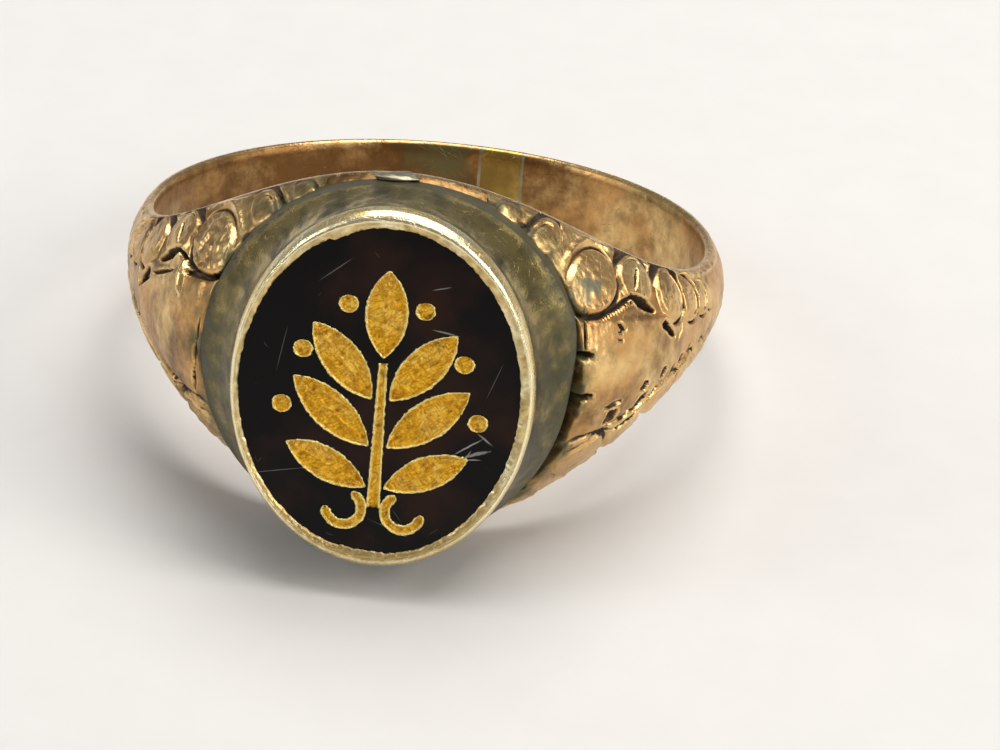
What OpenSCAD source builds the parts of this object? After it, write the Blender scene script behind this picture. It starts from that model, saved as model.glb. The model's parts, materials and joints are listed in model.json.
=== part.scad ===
// Signet ring: an oval stone tablet with a gilt engraved sprig, held in a two-part
// setting on a band with chased shoulders. The band was once cut and let out with a
// short soldered-in piece.
//
// The ring is drawn about its finger axis, with the finger along z and the stone
// facing -y. at_rest() then tips it as it lies on a table, on the lower edge of its
// head and the lower edge of its band. All sizes are in millimetres.

/* [Finger hole and band] */
// Inside diameter of the ring
finger_d = 20.2; // [16:0.1:23]
// Width of the plain band, measured along the finger
band_w = 2.9; // [2.2:0.1:4]
// Thickness of the band along the middle of its domed outside
band_t = 0.9; // [0.8:0.05:1.6]
// Thickness of the band at its two edges
band_edge_t = 0.35; // [0.3:0.05:0.7]

/* [Piece let into the band] */
// Turn from the back of the band to the middle of the piece
let_in_turn = 10; // [8:0.5:30]
// Length of the piece along the band
let_in_len = 1.6; // [1:0.1:4]
// Width of the solder seam at each of its ends
seam_w = 0.12; // [0.08:0.02:0.3]

/* [Shoulders] */
// Width of the ring at the middle of its head, measured along the finger
head_w = 13.1; // [12.9:0.1:16]
// Thickness that the shoulders would have if they met at the middle of the head
shoulder_t = 4.4; // [3.6:0.1:5]
// Thickness of the shoulders at their edges, beside the head
shoulder_edge_t = 0.45; // [0.4:0.05:1.2]
// Turn from the middle of the head to the end of each shoulder, at the band
shoulder_end = 105; // [95:1:130]
// Turn from the middle of the head to the joint with each shoulder
plate_turn = 22; // [16:1:26]
// Thickness of the curved plate under the setting
plate_t = 0.8; // [0.5:0.05:1.2]

/* [Stone] */
// Width of the stone across the finger
stone_w = 10; // [8:0.5:11]
// Height of the stone along the finger
stone_h = 12; // [10:0.5:12]
// Thickness of the stone
stone_t = 1.8; // [1.2:0.1:2.2]
// Height of the stone's face above the finger hole
face_rise = 4.2; // [3.8:0.05:4.6]
// Depth of the engraved cuts
cut_depth = 0.15; // [0.1:0.01:0.3]
// Thickness of the gilding that fills the cuts
gilt_t = 0.1; // [0.05:0.01:0.15]

/* [Setting] */
// Thickness of the setting's rim beside the stone
rim_side_t = 0.2; // [0.2:0.05:0.6]
// Thickness of the setting's rim above and below the stone
rim_end_t = 0.45; // [0.3:0.05:0.6]
// Overlap of the rim's lip on the stone
lip_cover = 0.12; // [0.1:0.02:0.3]
// Height of the lip over the stone's face
lip_rise = 0.18; // [0.1:0.02:0.3]
// Thickness of the rim's skirt, inside the collar
skirt_t = 0.1; // [0.06:0.02:0.12]
// Spread of the collar at each side, where it meets the shoulders
collar_side_flare = 1.4; // [0.8:0.05:1.5]
// Spread of the collar at its top and bottom, where it meets the plate
collar_end_flare = 0.05; // [0:0.05:0.2]
// Width of the ledge that the stone sits on
ledge_w = 0.8; // [0.5:0.1:1.5]

/* [Hidden] */

rose_gold = [0.80, 0.56, 0.38];
let_in_gold = [0.85, 0.70, 0.38];
tarnished_gold = [0.47, 0.45, 0.33];
pale_gold = [0.86, 0.78, 0.55];
grey_solder = [0.62, 0.65, 0.60];
leaf_gold = [0.88, 0.62, 0.16];
onyx_black = [0.03, 0.02, 0.02];
cement_brown = [0.30, 0.20, 0.12];

finger_r = finger_d / 2;
plate_r = finger_r + plate_t;
face_y = -(finger_r + face_rise);
stone_back_y = face_y + stone_t;
crest_y = face_y - lip_rise;
rim_base_y = face_y + 0.5;
collar_depth = 2.3;
collar_root_y = rim_base_y + collar_depth;
under_head_y = -8.4;

// half sizes of the ovals, as [half width, half height]
stone_oval = [stone_w / 2, stone_h / 2];
rim_oval = stone_oval + [rim_side_t, rim_end_t];
lip_oval = stone_oval - [lip_cover, lip_cover];
skirt_oval = stone_oval + [skirt_t, skirt_t];
ledge_oval = stone_oval - [ledge_w, ledge_w];

// The ring tips until the edge of its plate and the edge of its band share one level.
rest_tip = atan2(head_w / 2 - band_w / 2, finger_r + finger_r + band_edge_t);

seam_turn = seam_w / finger_r * 180 / PI;
let_in_half_turn = let_in_len / finger_r * 90 / PI;
let_in_mid = 180 - let_in_turn;

width_fall = 3.5;
thick_fall = 4.2;
dome = 0.85;
shoulder_steps = 34;
dome_steps = 12;
bore_allowance = 0.3;

function fall(turn, power) =
    abs(turn) < shoulder_end ? pow(cos(turn * 90 / shoulder_end), power) : 0;
function half_w_at(turn) = band_w / 2 + (head_w - band_w) / 2 * fall(turn, width_fall);
function crown_t_at(turn) = band_t + (shoulder_t - band_t) * fall(turn, thick_fall);
function edge_t_at(turn) =
    band_edge_t + (shoulder_edge_t - band_edge_t) * fall(turn, thick_fall);
function round_finger(turn, r, z) = [r * sin(turn), -r * cos(turn), z];

// One slice across the body at a turn from the head: a flat inside and a domed outside.
function slice(turn) =
    let (
        w = half_w_at(turn),
        edge = edge_t_at(turn),
        crown = crown_t_at(turn)
    )
    concat(
        [round_finger(turn, finger_r - bore_allowance, w)],
        [round_finger(turn, finger_r - bore_allowance, -w)],
        [
            for (i = [0:dome_steps])
                let (s = 2 * i / dome_steps - 1)
                round_finger(turn, finger_r + edge + (crown - edge) * pow(1 - s * s, dome), w * s)
        ]
    );

function oval_ring(oval, y, steps = 64) = [
    for (i = [0:steps - 1])
        let (a = 360 * i / steps)
        [oval[0] * cos(a), y, oval[1] * sin(a)]
];

module at_rest() rotate([-rest_tip, 0, 0]) children();

// A closed solid through a list of rings with equally many points.
module loft(rings) {
    n = len(rings[0]);
    m = len(rings);
    sides = [
        for (i = [0:m - 2], j = [0:n - 1])
            let (k = (j + 1) % n, a = i * n, b = a + n)
            each [[a + j, a + k, b + k], [a + j, b + k, b + j]]
    ];
    caps = [[for (j = [n - 1:-1:0]) j], [for (j = [0:n - 1]) (m - 1) * n + j]];
    polyhedron([for (ring = rings) each ring], concat(sides, caps));
}

// A straight oval solid whose ends are at y = from and y = to, from being the larger.
module oval_block(oval, from, to) {
    translate([0, from, 0])
        rotate([90, 0, 0])
            linear_extrude(from - to)
                scale(oval) circle(r = 1, $fn = 96);
}

module finger_hole(r = finger_r) cylinder(r = r, h = 3 * head_w, center = true, $fn = 180);

// The outside of the collar, a flared oval that stands on the plate and the shoulders.
module collar_outside() {
    steps = 7;
    loft(concat(
        [
            for (i = [0:steps])
                let (t = i / steps, spread = pow(t, 1.8))
                oval_ring(rim_oval + spread * [collar_side_flare, collar_end_flare],
                    rim_base_y + collar_depth * t)
        ],
        [oval_ring(rim_oval + [collar_side_flare, collar_end_flare], under_head_y)]
    ));
}

module collar_seat() {
    difference() {
        collar_outside();
        finger_hole(plate_r);
    }
}

// The solid body between two turns, with the finger hole and the collar's seat cut out.
module ring_body(from, to) {
    steps = max(4, round(shoulder_steps * abs(to - from) / shoulder_end));
    difference() {
        loft([for (i = [0:steps]) slice(from + (to - from) * i / steps)]);
        finger_hole();
        collar_seat();
        oval_block(rim_oval, rim_base_y + 0.5, crest_y - 3);
    }
}

module band_profile() {
    rise = band_t - band_edge_t;
    arc_r = (pow(band_w / 2, 2) + rise * rise) / (2 * rise);
    intersection() {
        translate([finger_r, -band_w / 2]) square([band_t, band_w]);
        translate([finger_r + band_t - arc_r, 0]) circle(r = arc_r, $fn = 180);
    }
}

// A stretch of the plain band between two turns from the head.
module band_stretch(from, to) {
    rotate([0, 0, from - 90])
        rotate_extrude(angle = to - from, $fn = 180)
            band_profile();
}

module band_left() {
    color(rose_gold)
        band_stretch(let_in_mid + let_in_half_turn + seam_turn, 360 - shoulder_end);
}

module band_right() {
    color(rose_gold)
        band_stretch(shoulder_end, let_in_mid - let_in_half_turn - seam_turn);
}

module let_in_piece() {
    color(let_in_gold)
        band_stretch(let_in_mid - let_in_half_turn, let_in_mid + let_in_half_turn);
}

module let_in_seams() {
    for (start = [let_in_mid - let_in_half_turn - seam_turn, let_in_mid + let_in_half_turn])
        color(grey_solder) band_stretch(start, start + seam_turn);
}

module shoulder_left() color(rose_gold) ring_body(-shoulder_end, -plate_turn);

module shoulder_right() mirror([1, 0, 0]) shoulder_left();

// The plate is an even shell round the finger, with the outline of the shoulders.
module head_plate() {
    reach = plate_turn + 2;
    r = (finger_r + plate_r) / 2;
    steps = 16;
    edge = [
        for (i = [0:steps])
            let (turn = reach * (2 * i / steps - 1))
            [r * sin(turn), half_w_at(turn)]
    ];
    color(rose_gold)
        intersection() {
            rotate([0, 0, -plate_turn - 90])
                rotate_extrude(angle = 2 * plate_turn, $fn = 180)
                    translate([finger_r, -head_w]) square([plate_t, 2 * head_w]);
            rotate([90, 0, 0])
                linear_extrude(2 * finger_r)
                    polygon(concat(edge, [for (i = [steps:-1:0]) [edge[i][0], -edge[i][1]]]));
        }
}

module collar() {
    color(tarnished_gold)
        difference() {
            collar_seat();
            oval_block(skirt_oval, 0, crest_y);
        }
}

// The setting's rim: a skirt down to the ledge, a flange on the collar and a rounded lip.
module bezel_rim() {
    flange_y = rim_base_y - 0.22;
    color(pale_gold)
        difference() {
            union() {
                oval_block(skirt_oval, stone_back_y, rim_base_y - 0.05);
                loft([
                    oval_ring(lip_oval + [0.03, 0.03], crest_y + 0.03),
                    oval_ring(stone_oval + [0.02, 0.08], crest_y),
                    oval_ring(stone_oval + 0.6 * [rim_side_t, rim_end_t], crest_y + 0.05),
                    oval_ring(stone_oval + 0.9 * [rim_side_t, rim_end_t], crest_y + 0.18),
                    oval_ring(rim_oval, flange_y - 0.1),
                    oval_ring(rim_oval, rim_base_y)
                ]);
            }
            oval_block(stone_oval, stone_back_y + 1, face_y);
            oval_block(lip_oval, face_y + 1, crest_y - 1);
        }
}

module stone_seat() {
    color(tarnished_gold)
        difference() {
            oval_block(skirt_oval, under_head_y, stone_back_y);
            oval_block(ledge_oval, under_head_y + 1, stone_back_y - 1);
            finger_hole(plate_r);
        }
}

module stone_bed() {
    color(cement_brown)
        difference() {
            oval_block(ledge_oval, under_head_y, stone_back_y);
            finger_hole(plate_r);
        }
}

// A leaf with two pointed ends, growing from the origin along +y.
module leaf_shape(long, wide) {
    r = (pow(long / 2, 2) + pow(wide / 2, 2)) / wide;
    translate([0, long / 2])
        intersection_for (side = [-1, 1])
            translate([side * (r - wide / 2), 0]) circle(r = r, $fn = 180);
}

module side_leaf(side, height, lean, long, wide) {
    translate([side * 0.32, height])
        rotate(-side * lean)
            leaf_shape(long, wide);
}

module stem_shape() polygon([[-0.2, -4.2], [0.2, -4.2], [0.12, 1.05], [-0.12, 1.05]]);

module tip_leaf_shape() translate([0, 1.25]) leaf_shape(3.1, 1.4);

module upper_leaf_shape(side) side_leaf(side, -0.25, 40, 3.3, 1.3);

module middle_leaf_shape(side) side_leaf(side, -1.95, 50, 3.5, 1.3);

module lower_leaf_shape(side) side_leaf(side, -3.45, 64, 3.1, 1.15);

// An open curl below the lowest leaves, from beside the stem down and round to its tip.
module curl_shape(side) {
    middle_r = 0.62;
    stroke = 0.3;
    translate([side * 1.02, -4.3])
        difference() {
            circle(r = middle_r + stroke / 2, $fn = 120);
            circle(r = middle_r - stroke / 2, $fn = 120);
            translate([side * 0.375, middle_r]) square([1.25, 2 * middle_r], center = true);
        }
}

module berry_shapes() {
    for (side = [-1, 1], at = [[1.3, 3.05], [2.75, 1.3], [3.35, -0.75]])
        translate([side * at[0], at[1]]) circle(r = 0.3, $fn = 60);
}

// Stands a flat shape in the stone's face, with its outer side the given depth below it.
module in_face(depth, thick) {
    translate([0, face_y + depth, 0])
        rotate([90, 0, 0])
            translate([0, 0, -thick])
                linear_extrude(thick)
                    children();
}

module gilt() {
    color(leaf_gold) in_face(cut_depth - gilt_t, gilt_t) children();
}

module stone() {
    color(onyx_black)
        difference() {
            oval_block(stone_oval, stone_back_y, face_y - 1);
            translate([0, face_y - 5, 0]) cube([20, 10, 20], center = true);
            in_face(-1, 1 + cut_depth) {
                stem_shape();
                tip_leaf_shape();
                for (side = [-1, 1]) {
                    upper_leaf_shape(side);
                    middle_leaf_shape(side);
                    lower_leaf_shape(side);
                    curl_shape(side);
                }
                berry_shapes();
            }
        }
}

// A drop of solder left on the edge of the plate, where the collar joins it.
module solder_blob() {
    color(grey_solder)
        translate([-0.3, -plate_r - 0.05, head_w / 2])
            difference() {
                scale([0.75, 0.4, 0.2]) sphere(r = 1, $fn = 48);
                translate([0, 0, -1]) cube(2, center = true);
            }
}

at_rest() band_left();
at_rest() band_right();
at_rest() let_in_piece();
at_rest() let_in_seams();
at_rest() shoulder_left();
at_rest() shoulder_right();
at_rest() head_plate();
at_rest() collar();
at_rest() bezel_rim();
at_rest() stone_seat();
at_rest() stone_bed();
at_rest() stone();
at_rest() solder_blob();
at_rest() gilt() stem_shape();  // sprig_stem
at_rest() gilt() tip_leaf_shape();  // sprig_tip_leaf
at_rest() gilt() upper_leaf_shape(-1);  // sprig_upper_leaf_left
at_rest() gilt() upper_leaf_shape(1);  // sprig_upper_leaf_right
at_rest() gilt() middle_leaf_shape(-1);  // sprig_middle_leaf_left
at_rest() gilt() middle_leaf_shape(1);  // sprig_middle_leaf_right
at_rest() gilt() lower_leaf_shape(-1);  // sprig_lower_leaf_left
at_rest() gilt() lower_leaf_shape(1);  // sprig_lower_leaf_right
at_rest() gilt() curl_shape(-1);  // sprig_curl_left
at_rest() gilt() curl_shape(1);  // sprig_curl_right
at_rest() gilt() berry_shapes();  // sprig_berries
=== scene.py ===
import bmesh
import bpy
import json
import math
from mathutils import Matrix, Vector, noise


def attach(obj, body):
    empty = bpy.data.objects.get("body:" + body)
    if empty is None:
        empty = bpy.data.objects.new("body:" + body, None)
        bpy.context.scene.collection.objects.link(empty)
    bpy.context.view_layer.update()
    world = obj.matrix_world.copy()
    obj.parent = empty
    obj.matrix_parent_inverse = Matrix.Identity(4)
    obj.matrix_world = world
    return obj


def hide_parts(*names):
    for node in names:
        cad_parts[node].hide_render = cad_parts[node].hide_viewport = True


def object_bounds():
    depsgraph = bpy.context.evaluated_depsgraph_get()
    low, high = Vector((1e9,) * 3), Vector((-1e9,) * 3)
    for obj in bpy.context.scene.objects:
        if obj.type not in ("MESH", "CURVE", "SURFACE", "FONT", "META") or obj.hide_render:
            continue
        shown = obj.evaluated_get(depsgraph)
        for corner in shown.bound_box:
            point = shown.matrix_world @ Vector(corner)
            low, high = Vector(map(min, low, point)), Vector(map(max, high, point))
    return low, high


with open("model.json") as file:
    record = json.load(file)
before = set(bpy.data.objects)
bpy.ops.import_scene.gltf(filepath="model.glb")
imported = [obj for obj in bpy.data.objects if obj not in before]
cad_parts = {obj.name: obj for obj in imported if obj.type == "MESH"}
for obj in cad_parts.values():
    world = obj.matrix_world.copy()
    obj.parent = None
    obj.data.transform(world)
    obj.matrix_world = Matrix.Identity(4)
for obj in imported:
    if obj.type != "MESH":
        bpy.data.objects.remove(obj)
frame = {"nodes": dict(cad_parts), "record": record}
cadLow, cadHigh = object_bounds()
mounts = {m["name"]: m for m in frame["record"]["mounts"]}

# The ring is worked out in millimetres about its finger axis (along z, stone facing -y),
# then tipped as it lies and scaled to metres in one go.
boreAxis = Vector(mounts["finger_bore"]["axis"])
tip = math.atan2(boreAxis.y, boreAxis.z)
toRow = Matrix.Rotation(-tip, 4, "X") @ Matrix.Scale(0.001, 4)

# Turns are in degrees round the finger from the middle of the head. s runs from -1 at the ring's
# lower edge to 1 at its upper edge.
ring = {
    "fingerR": mounts["finger_bore"]["dims"]["r_mm"],
    "bandWidth": 2.9,
    "bandThick": 0.9,
    "bandEdge": 0.35,
    "headWidth": mounts["finger_bore"]["dims"]["length_mm"],
    "crown": 4.4,  # thickness the shoulders would have at the middle of the head
    "headEdge": 0.45,
    "shoulderEnd": 105,
    "widthFall": 3.5,  # how fast the shoulders narrow
    "thickFall": 4.2,  # how fast they thin
    "dome": 0.85,
    "faceY": -14.3,  # the stone's face
    "plateThick": 0.8,
    "stoneHalf": (5.0, 6.0),
    "collarFoot": (6.6, 6.5),
}
fingerR = ring["fingerR"]
shoulderEnd = ring["shoulderEnd"]


def fall(turn, power):
    # 1 at the middle of the head, 0 where the shoulders end
    return math.cos(math.radians(turn * 90 / shoulderEnd)) ** power if abs(turn) < shoulderEnd else 0.0


def halfWidth(turn):
    return (ring["bandWidth"] + (ring["headWidth"] - ring["bandWidth"]) * fall(turn, ring["widthFall"])) / 2


def crownThick(turn):
    return ring["bandThick"] + (ring["crown"] - ring["bandThick"]) * fall(turn, ring["thickFall"])


def edgeThick(turn):
    return ring["bandEdge"] + (ring["headEdge"] - ring["bandEdge"]) * fall(turn, ring["thickFall"])


def onRing(turn, r, z):
    a = math.radians(turn)
    return Vector((r * math.sin(a), -r * math.cos(a), z))


def outside(turn, s):
    # a point on the domed outside
    edge, crown = edgeThick(turn), crownThick(turn)
    r = fingerR + edge + (crown - edge) * max(0.0, 1 - s * s) ** ring["dome"]
    return onRing(turn, r, halfWidth(turn) * s)


def outwards(turn, s):
    # the way the outside faces there
    s = max(-0.985, min(0.985, s))
    along = outside(turn + 0.3, s) - outside(turn - 0.3, s)
    across = outside(turn, s + 0.01) - outside(turn, s - 0.01)
    return along.cross(across).normalized()


def smooth(low, high, x):
    t = max(0.0, min(1.0, (x - low) / (high - low)))
    return t * t * (3 - 2 * t)


def lumps(p, size, seed=0.0):
    return noise.noise(p / size + Vector((seed, seed * 1.7, -seed)))


def worn(p, seed=0.0):
    # small dents of long wear
    return 0.02 * lumps(p, 2.6, seed) + 0.007 * lumps(p, 0.7, seed) + 0.002 * lumps(p, 0.22, seed)


def finishPiece(bm, name, node, material):
    bm.transform(toRow)
    bmesh.ops.recalc_face_normals(bm, faces=bm.faces)
    for face in bm.faces:
        face.smooth = True
    mesh = bpy.data.meshes.new(name)
    bm.to_mesh(mesh)
    bm.free()
    piece = bpy.data.objects.new(name, mesh)
    bpy.context.scene.collection.objects.link(piece)
    mesh.materials.append(material)
    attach(piece, "root")
    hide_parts(node)


def newGroup(name, inputs, outputs):
    group = bpy.data.node_groups.new(name, "ShaderNodeTree")
    for label, kind, value in inputs:
        socket = group.interface.new_socket(name=label, in_out="INPUT", socket_type=kind)
        socket.default_value = value
    for label, kind in outputs:
        group.interface.new_socket(name=label, in_out="OUTPUT", socket_type=kind)
    return group, group.nodes.new("NodeGroupInput"), group.nodes.new("NodeGroupOutput")


def addNode(tree, kind, settings=None, **values):
    # a value goes to the socket of its name, or _0, _1 and so on to the socket of that number
    node = tree.nodes.new(kind)
    for key, value in (settings or {}).items():
        setattr(node, key, value)
    for key, value in values.items():
        numbered = key[0] == "_" and key[1:].isdigit()
        socket = node.inputs[int(key[1:]) if numbered else key.replace("_", " ")]
        if isinstance(value, bpy.types.NodeSocket):
            tree.links.new(value, socket)
        else:
            socket.default_value = value
    return node


def mathNode(tree, operation, a, b, clamp=False):
    settings = {"operation": operation, "use_clamp": clamp}
    return addNode(tree, "ShaderNodeMath", settings, _0=a, _1=b).outputs[0]


def mixColour(tree, factor, a, b):
    return addNode(tree, "ShaderNodeMix", {"data_type": "RGBA"}, _0=factor, _6=a, _7=b).outputs[2]


def mixValue(tree, factor, a, b):
    return addNode(tree, "ShaderNodeMix", {"data_type": "FLOAT"}, _0=factor, _2=a, _3=b).outputs[0]


def vectorNode(tree, operation, *inputs):
    values = {f"_{number}": value for number, value in enumerate(inputs)}
    return addNode(tree, "ShaderNodeVectorMath", {"operation": operation}, **values).outputs[0]


def ramp(tree, value, low, high):
    return addNode(tree, "ShaderNodeMapRange", {"interpolation_type": "SMOOTHSTEP"},
                   Value=value, From_Min=low, From_Max=high).outputs[0]


def makeWearGroup():
    # patches, blotches and grain from noise, and four sets of fine lines drawn at their own slants
    lineSets = (((0.3, 0.6, 0.2), 22.0), ((0.5, 1.2, 2.4), 26.0),  # turned by, lines to the millimetre
                ((0.2, 2.2, 0.4), 20.0), ((0.4, 2.3, 2.6), 24.0))
    group, given, out = newGroup(
        "metalWear",
        [("Patch Size", "NodeSocketFloat", 2.5), ("Grain Size", "NodeSocketFloat", 0.12),
         ("Scratch Amount", "NodeSocketFloat", 0.5), ("Scratch Level", "NodeSocketFloat", 0.70),
         ("Scratch Size", "NodeSocketFloat", 1.0), ("Scratch Length", "NodeSocketFloat", 1.0)],
        [("Patches", "NodeSocketFloat"), ("Blotches", "NodeSocketFloat"), ("Grain", "NodeSocketFloat"),
         ("Scratches", "NodeSocketFloat"), ("Height", "NodeSocketFloat")])
    where = addNode(group, "ShaderNodeTexCoord").outputs["Object"]
    millimetres = vectorNode(group, "MULTIPLY", where, (1000.0, 1000.0, 1000.0))

    def noiseAt(size, detail, rough=0.55):
        scale = mathNode(group, "DIVIDE", 1.0, size)
        return addNode(group, "ShaderNodeTexNoise", Vector=millimetres, Scale=scale, Detail=detail,
                       Roughness=rough).outputs[0]

    patches = noiseAt(given.outputs["Patch Size"], 3.0)
    blotches = noiseAt(mathNode(group, "MULTIPLY", given.outputs["Patch Size"], 0.3), 5.0, 0.65)
    grain = noiseAt(given.outputs["Grain Size"], 4.0, 0.6)
    total = None
    drawn = addNode(group, "ShaderNodeVectorMath", {"operation": "SCALE"}, Vector=millimetres,
                    Scale=mathNode(group, "DIVIDE", 1.0, given.outputs["Scratch Size"])).outputs[0]
    sway = addNode(group, "ShaderNodeTexNoise", Vector=drawn, Scale=0.9, Detail=1.0).outputs[1]
    drawn = vectorNode(group, "MULTIPLY_ADD", sway, (0.5, 0.5, 0.5), drawn)
    along = mathNode(group, "DIVIDE", 0.9, given.outputs["Scratch Length"])
    for slant, tight in lineSets:
        turned = addNode(group, "ShaderNodeMapping", Vector=drawn, Rotation=slant).outputs[0]
        stretch = addNode(group, "ShaderNodeCombineXYZ", _0=tight, _1=along, _2=along).outputs[0]
        turned = vectorNode(group, "MULTIPLY", turned, stretch)
        lines = addNode(group, "ShaderNodeTexNoise", Vector=turned, Scale=1.0, Detail=1.0).outputs[0]
        cut = addNode(group, "ShaderNodeMapRange", {"interpolation_type": "SMOOTHSTEP"}, Value=lines,
                      From_Min=given.outputs["Scratch Level"],
                      From_Max=mathNode(group, "ADD", given.outputs["Scratch Level"], 0.05)).outputs[0]
        total = cut if total is None else mathNode(group, "MAXIMUM", total, cut)
    scratches = mathNode(group, "MULTIPLY", total, given.outputs["Scratch Amount"], clamp=True)
    height = mathNode(group, "ADD", mathNode(group, "MULTIPLY", blotches, 0.6),
                      mathNode(group, "MULTIPLY", grain, 0.4))
    height = mathNode(group, "SUBTRACT", height, mathNode(group, "MULTIPLY", scratches, 0.5))
    for label, value in (("Patches", patches), ("Blotches", blotches), ("Grain", grain),
                         ("Scratches", scratches), ("Height", height)):
        group.links.new(value, out.inputs[label])
    return group


def makeTarnishGroup():
    # clean metal, then a second alloy showing in patches and, paler, where burnish and a painted highlight
    # are marked, a film over it and dirt in the cuts
    group, given, out = newGroup(
        "tarnish",
        [("Metal", "NodeSocketColor", (0.8, 0.6, 0.4, 1)),
         ("Second Metal", "NodeSocketColor", (0.8, 0.7, 0.4, 1)),
         ("Film", "NodeSocketColor", (0.3, 0.25, 0.15, 1)),
         ("Dirt", "NodeSocketColor", (0.03, 0.02, 0.012, 1)),
         ("Patches", "NodeSocketFloat", 0.5), ("Blotches", "NodeSocketFloat", 0.5),
         ("Grain", "NodeSocketFloat", 0.5), ("Grime", "NodeSocketFloat", 0.0),
         ("Shine", "NodeSocketFloat", 0.0),
         ("Film Amount", "NodeSocketFloat", 0.3), ("Polish", "NodeSocketFloat", 0.25),
         ("Patchiness", "NodeSocketFloat", 1.0)],
        [("Color", "NodeSocketColor"), ("Roughness", "NodeSocketFloat"), ("Metallic", "NodeSocketFloat")])
    g = given.outputs
    second = mathNode(group, "MULTIPLY", ramp(group, g["Patches"], 0.42, 0.62), g["Patchiness"])
    second = mathNode(group, "MAXIMUM", second, g["Shine"])
    colour = mixColour(group, second, g["Metal"], g["Second Metal"])
    film = ramp(group, g["Blotches"], 0.32, 0.72)
    film = mathNode(group, "MULTIPLY", film, g["Film Amount"])
    unpolished = mathNode(group, "SUBTRACT", 1.0, g["Shine"], clamp=True)
    film = mathNode(group, "MULTIPLY", film, unpolished, clamp=True)
    colour = mixColour(group, film, colour, g["Film"])
    grainSwing = mathNode(group, "SUBTRACT", g["Grain"], 0.5)
    edgeDirt = mathNode(group, "ADD", g["Grime"], mathNode(group, "MULTIPLY", grainSwing, 0.5))
    dirt = ramp(group, edgeDirt, 0.25, 0.75)
    colour = mixColour(group, dirt, colour, g["Dirt"])
    rough = mathNode(group, "ADD", g["Polish"], mathNode(group, "MULTIPLY", grainSwing, 0.25))
    rough = mathNode(group, "ADD", rough, mathNode(group, "MULTIPLY", film, 0.25))
    rough = mathNode(group, "SUBTRACT", rough, mathNode(group, "MULTIPLY", g["Shine"], 0.12))
    rough = mixValue(group, dirt, rough, 0.7)
    metallic = mathNode(group, "SUBTRACT", 1.0, mathNode(group, "MULTIPLY", dirt, 0.8), clamp=True)
    group.links.new(colour, out.inputs["Color"])
    group.links.new(rough, out.inputs["Roughness"])
    group.links.new(metallic, out.inputs["Metallic"])
    return group


wearGroup = makeWearGroup()
tarnishGroup = makeTarnishGroup()


def newMaterial(name):
    material = bpy.data.materials.new(name)
    material.use_nodes = True
    tree = material.node_tree
    return material, tree, tree.nodes["Principled BSDF"]


def metal(name, colour, second, film, dirt=(0.02, 0.012, 0.007), filmAmount=0.3, polish=0.25,
          patch=2.5, patchy=1.0, grain=0.12, scratch=0.5, level=0.70, size=1.0, length=1.0, bump=0.02,
          stains=(), strokes=None):
    # stains: painted mask, colour, roughness, softness of its edge; strokes: colour of the worked lines,
    # darker than the metal as painted shade of their relief
    material, tree, shader = newMaterial(name)
    wear = addNode(tree, "ShaderNodeGroup", {"node_tree": wearGroup}, Patch_Size=patch, Grain_Size=grain,
                   Scratch_Amount=scratch, Scratch_Level=level, Scratch_Size=size,
                   Scratch_Length=length).outputs
    grime = addNode(tree, "ShaderNodeAttribute", {"attribute_name": "grime"}).outputs["Fac"]
    shine = addNode(tree, "ShaderNodeAttribute", {"attribute_name": "shine"}).outputs["Fac"]
    finish = addNode(tree, "ShaderNodeGroup", {"node_tree": tarnishGroup}, Metal=(*colour, 1),
                     Second_Metal=(*second, 1), Film=(*film, 1), Dirt=(*dirt, 1), Patches=wear["Patches"],
                     Blotches=wear["Blotches"], Grain=wear["Grain"], Grime=grime, Shine=shine,
                     Film_Amount=filmAmount, Polish=polish, Patchiness=patchy).outputs
    colourOut, roughOut = finish["Color"], finish["Roughness"]
    if strokes:
        worked = mathNode(tree, "MULTIPLY", wear["Scratches"], mathNode(tree, "SUBTRACT", 1.0, shine))
        colourOut = mixColour(tree, worked, colourOut, (*strokes, 1))
    for attribute, stain, rough, edge in stains:
        mask = addNode(tree, "ShaderNodeAttribute", {"attribute_name": attribute}).outputs["Fac"]
        swing = mathNode(tree, "MULTIPLY", mathNode(tree, "SUBTRACT", wear["Blotches"], 0.5), 1.2)
        ragged = ramp(tree, mathNode(tree, "ADD", mask, swing), 0.5 - edge, 0.5 + edge)
        ragged = mathNode(tree, "MULTIPLY", ragged, ramp(tree, mask, 0.0, 0.2))
        colourOut = mixColour(tree, ragged, colourOut, (*stain, 1))
        roughOut = mixValue(tree, ragged, roughOut, rough)
    tree.links.new(colourOut, shader.inputs["Base Color"])
    tree.links.new(roughOut, shader.inputs["Roughness"])
    tree.links.new(finish["Metallic"], shader.inputs["Metallic"])
    relief = addNode(tree, "ShaderNodeBump", Strength=1.0, Distance=bump * 0.001, Height=wear["Height"])
    tree.links.new(relief.outputs[0], shader.inputs["Normal"])
    return material


stone = {
    "black": (0.0015, 0.001, 0.001, 1),
    "brownCloud": (0.022, 0.007, 0.003, 1),
    "scratchGrey": (0.62, 0.60, 0.56, 1),
    "polish": 0.04,
    "gloss": 0.12,
    "hairlines": (  # middle x, z, lean, half length, half width, strength
        (3.30, -1.45, 35, 0.55, 0.030, 0.50), (3.55, -1.75, 20, 0.40, 0.060, 0.40),
        (3.05, -1.95, 60, 0.35, 0.035, 0.45), (3.75, -1.35, -35, 0.30, 0.035, 0.40),
        (3.40, -2.05, 5, 0.30, 0.025, 0.40), (2.25, 2.35, -8, 0.45, 0.030, 0.35),
        (1.90, 3.95, 15, 0.30, 0.022, 0.30), (-2.9, -3.1, 12, 1.10, 0.014, 0.20),
        (-3.4, 1.6, 80, 0.80, 0.012, 0.16), (0.9, -5.0, -20, 0.70, 0.014, 0.18),
        (-1.6, 4.4, 40, 0.60, 0.016, 0.22), (3.9, 1.1, 70, 0.70, 0.012, 0.16),
    ),
}


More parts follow.
